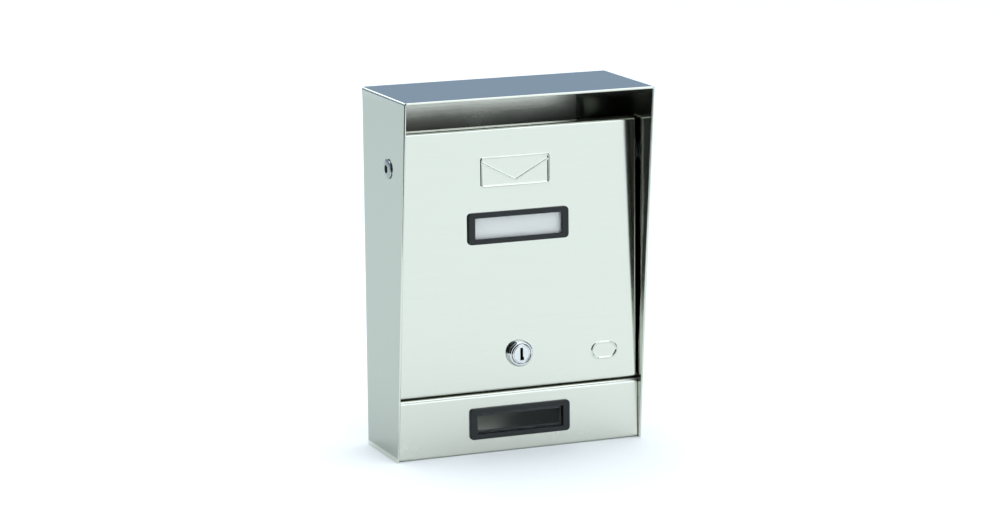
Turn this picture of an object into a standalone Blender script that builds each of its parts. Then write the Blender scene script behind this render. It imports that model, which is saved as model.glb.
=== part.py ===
"""Wall letterbox in bright stainless sheet.

A folded hood (roof and two side walls) sits over a folded body (back, bottom and lower front).
A top-hung door turns on two shoulder screws and leaves a letter slot open under the roof.
Metres, +Z up. X is the width, the wall is behind at +Y, and the origin is the middle of the base.
"""

import math

import bmesh
import bpy
from mathutils import Matrix

# Overall sizes
WIDTH = 0.200
HEIGHT = 0.276
DEPTH_TOP = 0.093
DEPTH_BOTTOM = 0.066

# Clearances
GAP = 0.0003
WELD_DISTANCE = 0.00001
DOOR_SIDE_CLEARANCE = 0.0020
DOOR_FOOT_CLEARANCE = 0.0012

# Hood
HOOD_SHEET = 0.0010
ROOF_BEND = 0.0022
HEM_THICKNESS = 0.0020
HEM_WIDTH = 0.0070
REAR_BEND = 0.0015
REAR_FLANGE = 0.0250
FLANGE_TAPER = 0.0080

# Body
BODY_SHEET = 0.0008
FRONT_SETBACK = 0.0020
LOWER_FRONT_HEIGHT = 0.0465
LOWER_FRONT_BEND = 0.0032
FOOT_BEND = 0.0016
RETURN_DEPTH = 0.0100
LIP_HEIGHT = 0.0055
LIP_END_CLEARANCE = 0.0045
BODY_SIDE_CLEARANCE = 0.0014
WALL_HOLE_RADIUS = 0.0033
WALL_HOLE_INSET = 0.0400
WALL_HOLE_MARGIN = 0.0460
DRAIN_RADIUS = 0.0022
DRAIN_SPACING = 0.0550

# Rivets between the hood's rear flanges and the back
RIVET_SHANK = 0.0016
RIVET_HEAD = 0.0034
RIVET_DOME = 0.0013
RIVET_INSET = 0.0135
RIVETS_PER_SIDE = 3

# Door
DOOR_SHEET = 0.0008
SLOT_HEIGHT = 0.0276
DOOR_BEND = 0.0020
DOOR_SIDE_FLANGE = 0.0150
DOOR_TOP_FLANGE = 0.0100
DOOR_FOOT_FLANGE = 0.0080

# Door pivots, measured behind the door's face and below the roof
PIVOT_SETBACK = 0.0075
PIVOT_DROP = 0.0540
SHOULDER_RADIUS = 0.0038
SCREW_HEAD_RADIUS = 0.0076
SCREW_HEAD_HEIGHT = 0.0016
SOCKET_FLATS = 0.0060
SOCKET_DEPTH = 0.0042
SPACER_RADIUS = 0.0074
THREAD_RADIUS = 0.0025
WASHER_RADIUS = 0.0050
WASHER_THICKNESS = 0.0010
NUT_FLATS = 0.0080
NUT_HEIGHT = 0.0040
THREAD_PAST_NUT = 0.0012

# Name holder, this far below the door's head, and lower window, two of the same moulding
FRAME_LENGTH = 0.0815
FRAME_HEIGHT = 0.0240
FRAME_PROUD = 0.0020
FRAME_ROUNDING = 0.0006
FRAME_CORNER = 0.0030
PANE_LENGTH = 0.0700
PANE_HEIGHT = 0.0160
COLLAR_LENGTH = 0.0760
COLLAR_HEIGHT = 0.0200
COLLAR_WALL = 0.0010
COLLAR_DEPTH = 0.0058
LENS_THICKNESS = 0.0012
CARD_THICKNESS = 0.0004
RETAINER_THICKNESS = 0.0014
RETAINER_RIM = 0.0030
NAME_DROP = 0.0755
WINDOW_HEIGHT = 0.0232

# Cam lock
LOCK_HEIGHT = 0.0751
BEZEL_RADIUS = 0.0104
BEZEL_PROUD = 0.0049
BEZEL_TAPER = 0.0022
BEZEL_DOME = 0.0040
BARREL_RADIUS = 0.0092
BARREL_FLATS = 0.0083
BARREL_LENGTH = 0.0108
PLUG_RADIUS = 0.0074
PLUG_PROUD = 0.0052
KEYWAY_WIDTH = 0.0023
KEYWAY_HEIGHT = 0.0096
KEYWAY_DEPTH = 0.0070
TAIL_SIDE = 0.0064
CAM_THICKNESS = 0.0020
CAM_REACH = 0.0390
CAM_TIP_RADIUS = 0.0050
CAM_HUB_RADIUS = 0.0085
LOCK_NUT_FLATS = 0.0230
LOCK_NUT_HEIGHT = 0.0030
CAM_SCREW_RADIUS = 0.0017
CAM_SCREW_HEAD = 0.0046
CAM_SCREW_HEAD_HEIGHT = 0.0018
CAM_SCREW_LENGTH = 0.0050

# Pressed ornament on the door: a plain envelope below its head, and a plain oval low on the right
RIDGE_WIDTH = 0.0016
RIDGE_HEIGHT = 0.0006
ENVELOPE_LENGTH = 0.0542
ENVELOPE_HEIGHT = 0.0215
ENVELOPE_RIGHT = -0.0020
ENVELOPE_DROP = 0.0334
FLAP_START = 0.0038
FLAP_POINT = 0.0180
OVAL_CENTRE = (0.0700, 0.0709)
OVAL_LENGTH = 0.0200
OVAL_HEIGHT = 0.0120

# Where the main planes lie, as distances in front of the wall
BACK = DEPTH_TOP / 2
HOOD_REAR = BODY_SHEET + GAP
FRONT_PLANE = DEPTH_BOTTOM - FRONT_SETBACK
INNER_HALF = WIDTH / 2 - HOOD_SHEET
DOOR_HALF = INNER_HALF - DOOR_SIDE_CLEARANCE
DOOR_FOOT = LOWER_FRONT_HEIGHT + DOOR_FOOT_CLEARANCE
DOOR_HEAD = HEIGHT - SLOT_HEIGHT
NAME_HEIGHT = DOOR_HEAD - NAME_DROP
PIVOT_AHEAD = FRONT_PLANE - PIVOT_SETBACK
PIVOT_HEIGHT = HEIGHT - PIVOT_DROP
FAR = 0.5

# Pieces that swing with the door, and pieces that turn with the key
DOOR_PIECES = (
    "door_panel",
    "name_frame",
    "name_lens",
    "name_card",
    "name_backplate",
    "lock_housing",
    "lock_nut",
)
LOCK_PIECES = ("lock_plug", "lock_cam", "lock_cam_screw")


def at(ahead):
    """Y of a plane that lies this far in front of the wall."""
    return BACK - ahead


def colour(hex_value):
    """Linear colour of an sRGB hex value."""
    parts = [int(hex_value[i : i + 2], 16) / 255 for i in (0, 2, 4)]
    return [p / 12.92 if p <= 0.04045 else ((p + 0.055) / 1.055) ** 2.4 for p in parts]


def make_material(name, hex_value, metallic, roughness):
    made = bpy.data.materials.new(name)
    made.use_nodes = True
    shader = made.node_tree.nodes["Principled BSDF"]
    shader.inputs["Base Color"].default_value = (*colour(hex_value), 1.0)
    shader.inputs["Metallic"].default_value = metallic
    shader.inputs["Roughness"].default_value = roughness
    return made


def add(name, shape, finish, round_angle=30):
    """A named object from a bmesh, with its faces pointing out and its round faces smooth."""
    bmesh.ops.remove_doubles(shape, verts=shape.verts, dist=1e-7)
    bmesh.ops.dissolve_degenerate(shape, edges=shape.edges, dist=1e-7)
    bmesh.ops.recalc_face_normals(shape, faces=shape.faces)
    mesh = bpy.data.meshes.new(name)
    shape.to_mesh(mesh)
    shape.free()
    mesh.shade_smooth()
    mesh.set_sharp_from_angle(angle=math.radians(round_angle))
    mesh.materials.append(finish)
    made = bpy.data.objects.new(name, mesh)
    bpy.context.scene.collection.objects.link(made)
    return made


def boolean(target, name, shape, operation="DIFFERENCE"):
    """Cuts the shape from the target, or joins it on, with a hidden helper object."""
    helper = add(f"{target.name}_{name}", shape, target.data.materials[0])
    helper.hide_render = True
    helper.display_type = "WIRE"
    helper.parent = target
    modifier = target.modifiers.new(name, "BOOLEAN")
    modifier.operation = operation
    modifier.solver = "EXACT"
    modifier.object = helper


def weld(target):
    """Merges the doubled points that cuts leave behind."""
    modifier = target.modifiers.new("weld", "WELD")
    modifier.merge_threshold = WELD_DISTANCE


def box(low, high):
    shape = bmesh.new()
    bmesh.ops.create_cube(shape, size=1.0)
    size = [b - a for a, b in zip(low, high)]
    middle = [(a + b) / 2 for a, b in zip(low, high)]
    bmesh.ops.scale(shape, vec=size, verts=shape.verts)
    bmesh.ops.translate(shape, vec=middle, verts=shape.verts)
    return shape


def slab(half_length, heights, nearest, farthest):
    """A box across the middle, between two heights and two distances in front of the wall."""
    return box((-half_length, at(farthest), heights[0]), (half_length, at(nearest), heights[1]))


def plate(centre_height, length, height, nearest, farthest):
    half = height / 2
    return slab(length / 2, (centre_height - half, centre_height + half), nearest, farthest)


def bevel_front(shape, radius, segments):
    """Rounds the edges that bound the face nearest -Y."""
    front = min(v.co.y for v in shape.verts)
    edges = [e for e in shape.edges if all(abs(v.co.y - front) < 1e-7 for v in e.verts)]
    bmesh.ops.bevel(shape, geom=edges, offset=radius, segments=segments, profile=0.5, affect="EDGES")
    return shape


def round_corners(shape, radius, segments):
    """Rounds the edges that run along Y."""
    edges = [e for e in shape.edges if abs(e.verts[0].co.y - e.verts[1].co.y) > radius / 100]
    bmesh.ops.bevel(shape, geom=edges, offset=radius, segments=segments, profile=0.5, affect="EDGES")
    return shape


def arc(centre, radius, start, end, steps):
    """Points on an arc, in degrees, both ends included."""
    angles = [math.radians(start + (end - start) * i / steps) for i in range(steps + 1)]
    return [(centre[0] + radius * math.cos(a), centre[1] + radius * math.sin(a)) for a in angles]


def prism(outline, place, low, high):
    """A closed prism: place(a, b, c) puts the outline's point a, b at each end c."""
    shape = bmesh.new()
    ends = [[shape.verts.new(place(a, b, c)) for a, b in outline] for c in (low, high)]
    shape.faces.new(ends[0])
    shape.faces.new(ends[1])
    count = len(outline)
    for i in range(count):
        j = (i + 1) % count
        shape.faces.new((ends[0][i], ends[0][j], ends[1][j], ends[1][i]))
    return shape


def upright(a, b, c):
    """Outline in X and Y, swept along Z, for a matrix to turn."""
    return (a, b, c)


def facing_front(a, b, c):
    """Outline in X and Z, swept along Y, with c the distance in front of the wall."""
    return (a, at(c), b)


def facing_side(a, b, c):
    """Outline in distance from the wall and Z, swept along X."""
    return (c, at(a), b)


def turned(profile, sides, turn):
    """A solid of revolution: profile is (radius, along), closed on the axis or on itself."""
    shape = bmesh.new()
    rings = []
    for radius, along in profile:
        if radius == 0:
            rings.append([shape.verts.new((0, 0, along))] * sides)
            continue
        angles = [2 * math.pi * i / sides for i in range(sides)]
        ring = [shape.verts.new((radius * math.cos(a), radius * math.sin(a), along)) for a in angles]
        rings.append(ring)
    solid = profile[0][0] == 0
    pairs = list(zip(rings, rings[1:]))
    if not solid:
        pairs.append((rings[-1], rings[0]))
    for lower, upper in pairs:
        for i in range(sides):
            j = (i + 1) % sides
            corners = dict.fromkeys((lower[i], lower[j], upper[j], upper[i]))
            shape.faces.new(tuple(corners))
    bmesh.ops.transform(shape, matrix=turn, verts=shape.verts)
    return shape


def forward_axis(x, z):
    """Turns a lathe shape so that it points out of the front, with its zero at the wall."""
    return Matrix.Translation((x, BACK, z)) @ Matrix.Rotation(math.radians(90), 4, "X")


def outward_axis(side):
    """Turns a lathe shape so that it points out of a side wall, on the door's pivot."""
    turn = Matrix.Rotation(math.radians(90 * side), 4, "Y")
    return Matrix.Translation((0, at(PIVOT_AHEAD), PIVOT_HEIGHT)) @ turn


def ring(inner, outer, low, high):
    return [(inner, low), (outer, low), (outer, high), (inner, high)]


def hexagon(flats):
    return arc((0, 0), flats / math.sqrt(3), 30, 330, 5)


def cut_round(outline_radius, flat, sides):
    """A circle with two flats that face the sides."""
    points = arc((0, 0), outline_radius, 0, 360 - 360 / sides, sides - 1)
    return [(max(-flat, min(flat, a)), b) for a, b in points]


def thick_path(corners, bends, thickness, steps=5):
    """Outline of a folded sheet: corners lie on its middle line and bends are middle radii."""
    line = [(corners[0], None)]
    for before, here, after, bend in zip(corners, corners[1:], corners[2:], bends):
        away = (before[0] - here[0], before[1] - here[1])
        onward = (after[0] - here[0], after[1] - here[1])
        away = [c / math.hypot(*away) for c in away]
        onward = [c / math.hypot(*onward) for c in onward]
        centre = [h + bend * (a + o) for h, a, o in zip(here, away, onward)]
        for i in range(steps + 1):
            angle = math.pi / 2 * i / steps
            offset = [-bend * (math.cos(angle) * o + math.sin(angle) * a) for a, o in zip(away, onward)]
            line.append(((centre[0] + offset[0], centre[1] + offset[1]), offset))
    line.append((corners[-1], None))
    left, right = [], []
    for i, (point, _) in enumerate(line):
        first, last = line[max(i - 1, 0)][0], line[min(i + 1, len(line) - 1)][0]
        along = (last[0] - first[0], last[1] - first[1])
        long = math.hypot(*along)
        normal = (-along[1] / long * thickness / 2, along[0] / long * thickness / 2)
        left.append((point[0] + normal[0], point[1] + normal[1]))
        right.append((point[0] - normal[0], point[1] - normal[1]))
    return left + right[::-1]


def front_depth(height):
    """Distance from the wall to the hood's sloping front edge at a height."""
    return DEPTH_BOTTOM + (DEPTH_TOP - DEPTH_BOTTOM) * height / HEIGHT


def hood_section(front, tip, bend):
    """Closed section of the hood's sheet as (distance from the wall, depth into the box)."""
    hem = HEM_THICKNESS / 2
    points = arc((HOOD_REAR + bend, bend), bend, 180, 270, 4)
    points += arc((front - hem, hem), hem, -90, 90, 6)
    points += [(front - HEM_WIDTH, HEM_THICKNESS), (front - HEM_WIDTH, HOOD_SHEET)]
    points += [(HOOD_REAR + HOOD_SHEET, HOOD_SHEET), (HOOD_REAR + HOOD_SHEET, tip), (HOOD_REAR, tip)]
    return points


def hood_stations():
    """Stations up the left wall, over the roof and down the right wall.

    Each is a point on the outer face, the direction into the box, and the flange and bend there.
    """
    half = WIDTH / 2
    shoulder = HEIGHT - ROOF_BEND
    wall = [(0.0, REAR_FLANGE, REAR_BEND), (shoulder - FLANGE_TAPER, REAR_FLANGE, REAR_BEND)]
    left = [((-half, z), (1, 0), tip, bend) for z, tip, bend in wall]
    corner = []
    for i in range(7):
        angle = math.pi - math.pi / 2 * i / 6
        out = (math.cos(angle), math.sin(angle))
        point = (-half + ROOF_BEND + ROOF_BEND * out[0], shoulder + ROOF_BEND * out[1])
        corner.append((point, (-out[0], -out[1]), HOOD_SHEET, 0.0))
    left += corner
    right = [((-p[0], p[1]), (-d[0], d[1]), tip, bend) for p, d, tip, bend in reversed(left)]
    return left + right


def make_hood(finish):
    shape = bmesh.new()
    rings = []
    for point, inward, tip, bend in hood_stations():
        section = hood_section(front_depth(point[1]), tip, bend)
        places = [(point[0] + n * inward[0], at(d), point[1] + n * inward[1]) for d, n in section]
        rings.append([shape.verts.new(place) for place in places])
    count = len(rings[0])
    shape.faces.new(rings[0])
    shape.faces.new(rings[-1])
    for first, second in zip(rings, rings[1:]):
        for i in range(count):
            j = (i + 1) % count
            shape.faces.new((first[i], first[j], second[j], second[i]))
    hood = add("hood", shape, finish)
    hole = SHOULDER_RADIUS + GAP
    for side, name in ((-1, "left"), (1, "right")):
        cutter = turned([(0, 0), (hole, 0), (hole, FAR), (0, FAR)], 32, outward_axis(side))
        boolean(hood, f"pivot_hole_{name}", cutter)
    notch = slab(body_half() + GAP, (-FAR, BODY_SHEET / 2 + FOOT_BEND + GAP), 0, DEPTH_BOTTOM / 2)
    boolean(hood, "foot_notch", notch)
    for name, x, z in rivet_places():
        boolean(hood, f"hole_{name}", rivet_hole(x, z))


def rivet_places():
    """Name and place of each rivet, evenly spaced up both rear flanges."""
    across = WIDTH / 2 - RIVET_INSET
    places = []
    for side, name in ((-1, "left"), (1, "right")):
        for i in range(RIVETS_PER_SIDE):
            height = HEIGHT * (i + 0.5) / RIVETS_PER_SIDE
            places.append((f"rivet_{name}_{i + 1}", side * across, height))
    return places


def rivet_hole(x, z):
    hole = RIVET_SHANK + GAP
    ahead = HOOD_REAR + HOOD_SHEET + BODY_SHEET
    return turned([(0, 0), (hole, 0), (hole, ahead), (0, ahead)], 16, forward_axis(x, z))


def countersink(x, z):
    """Cone at the wall side that takes a rivet's closed tail."""
    wide = RIVET_SHANK + BODY_SHEET + GAP
    profile = [
        (0, -BODY_SHEET),
        (wide + BODY_SHEET, -BODY_SHEET),
        (wide - BODY_SHEET, BODY_SHEET),
        (0, BODY_SHEET),
    ]
    return turned(profile, 16, forward_axis(x, z))


def make_rivets(finish):
    under = HOOD_REAR + HOOD_SHEET + GAP
    tail = RIVET_SHANK + BODY_SHEET
    for name, x, z in rivet_places():
        dome = [
            (RIVET_HEAD * math.cos(a), under + RIVET_DOME * math.sin(a))
            for a in (math.radians(18 * i) for i in range(5))
        ]
        profile = [(0, 0), (tail, 0), (RIVET_SHANK, BODY_SHEET), (RIVET_SHANK, under)]
        profile += dome + [(0, under + RIVET_DOME)]
        add(name, turned(profile, 16, forward_axis(x, z)), finish)


def body_half():
    return INNER_HALF - BODY_SIDE_CLEARANCE


def make_body(finish):
    half_sheet = BODY_SHEET / 2
    front = FRONT_PLANE - half_sheet
    top = LOWER_FRONT_HEIGHT - half_sheet
    inner = FRONT_PLANE - RETURN_DEPTH + half_sheet
    corners = [
        (half_sheet, HEIGHT - HOOD_SHEET - GAP),
        (half_sheet, half_sheet),
        (front, half_sheet),
        (front, top),
        (inner, top),
        (inner, LOWER_FRONT_HEIGHT + LIP_HEIGHT),
    ]
    outline = thick_path(corners, [FOOT_BEND, FOOT_BEND, LOWER_FRONT_BEND, FOOT_BEND], BODY_SHEET)
    half = body_half()
    body = add("body", prism(outline, facing_side, -half, half), finish)
    notch_top = LOWER_FRONT_HEIGHT + 2 * LIP_HEIGHT
    notch_front = FRONT_PLANE - (RETURN_DEPTH + LOWER_FRONT_BEND) / 2
    for side, name in ((-1, "left"), (1, "right")):
        edges = sorted((side * (DOOR_HALF - DOOR_SHEET - LIP_END_CLEARANCE), side * WIDTH))
        low = (edges[0], at(notch_front), LOWER_FRONT_HEIGHT / 2)
        notch = box(low, (edges[1], at(DEPTH_BOTTOM / 2), notch_top))
        boolean(body, f"corner_notch_{name}", notch)
    boolean(body, "window", collar_hole(WINDOW_HEIGHT))
    through = DEPTH_BOTTOM / 2
    profile = [(0, -through), (WALL_HOLE_RADIUS, -through), (WALL_HOLE_RADIUS, through), (0, through)]
    for side, name in ((-1, "left"), (1, "right")):
        for z, level in ((WALL_HOLE_MARGIN, "low"), (HEIGHT - WALL_HOLE_MARGIN, "high")):
            centre = side * (WIDTH / 2 - WALL_HOLE_INSET)
            boolean(body, f"wall_hole_{level}_{name}", turned(profile, 24, forward_axis(centre, z)))
    for i in (-1, 0, 1):
        turn = Matrix.Translation((i * DRAIN_SPACING, at(DEPTH_BOTTOM / 2), 0))
        through = 2 * FOOT_BEND
        profile = [(0, -through), (DRAIN_RADIUS, -through), (DRAIN_RADIUS, through), (0, through)]
        boolean(body, f"drain_{i + 1}", turned(profile, 16, turn))
    for name, x, z in rivet_places():
        boolean(body, f"hole_{name}", countersink(x, z))


def collar_hole(height):
    length, high = COLLAR_LENGTH + 2 * GAP, COLLAR_HEIGHT + 2 * GAP
    return plate(height, length, high, FRONT_PLANE - COLLAR_DEPTH, FRONT_PLANE + FAR)


def make_door(finish):
    rear = FRONT_PLANE - DOOR_SIDE_FLANGE
    outer = bevel_front(slab(DOOR_HALF, (DOOR_FOOT, DOOR_HEAD), rear, FRONT_PLANE), DOOR_BEND, 4)
    door = add("door_panel", outer, finish)
    inside = slab(
        DOOR_HALF - DOOR_SHEET,
        (DOOR_FOOT + DOOR_SHEET, DOOR_HEAD - DOOR_SHEET),
        rear - FAR,
        FRONT_PLANE - DOOR_SHEET,
    )
    boolean(door, "inside", bevel_front(inside, DOOR_BEND - DOOR_SHEET, 4))
    between = DOOR_HALF - 2 * DOOR_SHEET
    middle = (DOOR_FOOT + DOOR_HEAD) / 2
    boolean(door, "head_trim", slab(between, (middle, FAR), rear - FAR, FRONT_PLANE - DOOR_TOP_FLANGE))
    boolean(door, "foot_trim", slab(between, (-FAR, middle), rear - FAR, FRONT_PLANE - DOOR_FOOT_FLANGE))
    hole = SHOULDER_RADIUS + GAP
    pivot = turned([(0, -FAR), (hole, -FAR), (hole, FAR), (0, FAR)], 32, outward_axis(1))
    boolean(door, "pivot_holes", pivot)
    boolean(door, "name_hole", collar_hole(NAME_HEIGHT))
    outline = [(a, LOCK_HEIGHT + b) for a, b in cut_round(BARREL_RADIUS + GAP, BARREL_FLATS + GAP, 40)]
    boolean(door, "lock_hole", prism(outline, facing_front, rear, FAR))
    for name, shape in ornament():
        boolean(door, name, shape, "UNION")


def ridge(path, closed):
    """A raised line along a path on the door's face: flat on top, with sloping sides."""
    shape = bmesh.new()
    sink = DOOR_SHEET / 2
    base, crown = RIDGE_WIDTH / 2, RIDGE_WIDTH / 4
    levels = [(-base, -sink), (base, -sink), (base, 0)]
    levels += [(crown, RIDGE_HEIGHT), (-crown, RIDGE_HEIGHT), (-base, 0)]
    rings = []
    count = len(path)
    for i, (x, z) in enumerate(path):
        before = path[i - 1] if closed or i else path[0]
        after = path[(i + 1) % count] if closed or i < count - 1 else path[-1]
        one = unit((x - before[0], z - before[1])) or unit((after[0] - x, after[1] - z))
        two = unit((after[0] - x, after[1] - z)) or one
        middle = unit((one[0] + two[0], one[1] + two[1]))
        reach = 1 / (middle[0] * one[0] + middle[1] * one[1])
        side = (-middle[1] * reach, middle[0] * reach)
        places = [(x + s * side[0], at(FRONT_PLANE + h), z + s * side[1]) for s, h in levels]
        rings.append([shape.verts.new(place) for place in places])
    pairs = list(zip(rings, rings[1:]))
    if closed:
        pairs.append((rings[-1], rings[0]))
    else:
        shape.faces.new(rings[0])
        shape.faces.new(rings[-1])
    for first, second in pairs:
        for i in range(len(levels)):
            j = (i + 1) % len(levels)
            shape.faces.new((first[i], first[j], second[j], second[i]))
    return shape


def unit(vector):
    long = math.hypot(*vector)
    return (vector[0] / long, vector[1] / long) if long > 1e-9 else None


def ornament():
    """The pressed envelope's outline and flap, and the pressed oval."""
    x, z = ENVELOPE_RIGHT, DOOR_HEAD - ENVELOPE_DROP
    half, high = ENVELOPE_LENGTH / 2, ENVELOPE_HEIGHT / 2
    round_corner = RIDGE_WIDTH
    outline = []
    for sx, sz, start in ((1, 1, 0), (-1, 1, 90), (-1, -1, 180), (1, -1, 270)):
        centre = (x + sx * (half - round_corner), z + sz * (high - round_corner))
        outline += arc(centre, round_corner, start, start + 90, 3)
    inset = RIDGE_WIDTH / 2
    start = z + high - FLAP_START
    flap = [(x - half + inset, start), (x, z + high - FLAP_POINT), (x + half - inset, start)]
    cap = OVAL_HEIGHT / 2
    reach = OVAL_LENGTH / 2 - cap
    centre_x, centre_z = OVAL_CENTRE
    oval = arc((centre_x + reach, centre_z), cap, -90, 90, 10)
    oval += arc((centre_x - reach, centre_z), cap, 90, 270, 10)
    return [
        ("envelope", ridge(outline, True)),
        ("flap", ridge(flap, False)),
        ("oval", ridge(oval, True)),
    ]


def make_pivots(steel, nylon):
    """Shoulder screw, spacer, washer and nut on each side, listed from the outside in."""
    outside = WIDTH / 2 + GAP
    flange = DOOR_HALF - DOOR_SHEET
    shoulder_end = flange - 2 * GAP
    washer_top = shoulder_end - GAP
    nut_top = washer_top - WASHER_THICKNESS - GAP
    thread_end = nut_top - NUT_HEIGHT - THREAD_PAST_NUT
    head_top = outside + SCREW_HEAD_HEIGHT
    edge = SCREW_HEAD_HEIGHT / 2
    for side, name in ((-1, "left"), (1, "right")):
        turn = outward_axis(side)
        profile = [
            (0, thread_end),
            (THREAD_RADIUS, thread_end),
            (THREAD_RADIUS, shoulder_end),
            (SHOULDER_RADIUS, shoulder_end),
            (SHOULDER_RADIUS, outside),
            (SCREW_HEAD_RADIUS, outside),
        ]
        profile += [
            (SCREW_HEAD_RADIUS - edge * (1 - math.cos(a)), head_top - edge * (1 - math.sin(a)))
            for a in (math.radians(22.5 * i) for i in range(5))
        ]
        profile.append((0, head_top))
        screw = add(f"pivot_screw_{name}", turned(profile, 32, turn), steel)
        socket = prism(hexagon(SOCKET_FLATS), upright, head_top - SOCKET_DEPTH, FAR)
        bmesh.ops.transform(socket, matrix=turn, verts=socket.verts)
        boolean(screw, "socket", socket)
        bore = SHOULDER_RADIUS + GAP
        profile = ring(bore, SPACER_RADIUS, DOOR_HALF + GAP, INNER_HALF - GAP)
        add(f"pivot_spacer_{name}", turned(profile, 32, turn), nylon)
        bore = THREAD_RADIUS + GAP
        profile = ring(bore, WASHER_RADIUS, washer_top - WASHER_THICKNESS, washer_top)
        add(f"pivot_washer_{name}", turned(profile, 32, turn), steel)
        nut = prism(hexagon(NUT_FLATS), upright, nut_top - NUT_HEIGHT, nut_top)
        bmesh.ops.transform(nut, matrix=turn, verts=nut.verts)
        made = add(f"pivot_nut_{name}", nut, steel)
        boolean(made, "bore", turned([(0, 0), (bore, 0), (bore, FAR), (0, FAR)], 24, turn))


def make_frame(name, height, black):
    """One moulding: a bezel in front of the sheet and a collar through it."""
    rear = FRONT_PLANE + GAP
    bezel = plate(height, FRAME_LENGTH, FRAME_HEIGHT, rear, FRONT_PLANE + FRAME_PROUD)
    bezel = bevel_front(round_corners(bezel, FRAME_CORNER, 5), FRAME_ROUNDING, 2)
    frame = add(name, bezel, black)
    collar = plate(height, COLLAR_LENGTH, COLLAR_HEIGHT, FRONT_PLANE - COLLAR_DEPTH, rear + GAP)
    boolean(frame, "collar", collar, "UNION")
    inner = 2 * COLLAR_WALL
    cavity = plate(height, COLLAR_LENGTH - inner, COLLAR_HEIGHT - inner, -FAR, rear)
    boolean(frame, "cavity", cavity)
    boolean(frame, "pane_opening", plate(height, PANE_LENGTH, PANE_HEIGHT, -FAR, FAR))


def inside_collar():
    """Length and height of a piece that drops into a frame's collar."""
    less = 2 * (COLLAR_WALL + GAP)
    return COLLAR_LENGTH - less, COLLAR_HEIGHT - less


def make_name_holder(black, clear, paper):
    make_frame("name_frame", NAME_HEIGHT, black)
    length, height = inside_collar()
    lens = FRONT_PLANE
    card = lens - LENS_THICKNESS - GAP
    back = card - CARD_THICKNESS - GAP
    add("name_lens", plate(NAME_HEIGHT, length, height, lens - LENS_THICKNESS, lens), clear)
    blank = plate(NAME_HEIGHT, length - 2 * GAP, height - 2 * GAP, card - CARD_THICKNESS, card)
    add("name_card", blank, paper)
    add("name_backplate", plate(NAME_HEIGHT, length, height, back - RETAINER_THICKNESS, back), black)


def make_window(black, clear):
    make_frame("window_frame", WINDOW_HEIGHT, black)
    length, height = inside_collar()
    lens = FRONT_PLANE
    back = lens - LENS_THICKNESS - GAP
    add("window_lens", plate(WINDOW_HEIGHT, length, height, lens - LENS_THICKNESS, lens), clear)
    sheet = plate(WINDOW_HEIGHT, length, height, back - RETAINER_THICKNESS, back)
    keeper = add("window_retainer", sheet, black)
    rim = 2 * RETAINER_RIM
    boolean(keeper, "opening", plate(WINDOW_HEIGHT, length - rim, height - rim, -FAR, FAR))


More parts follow.
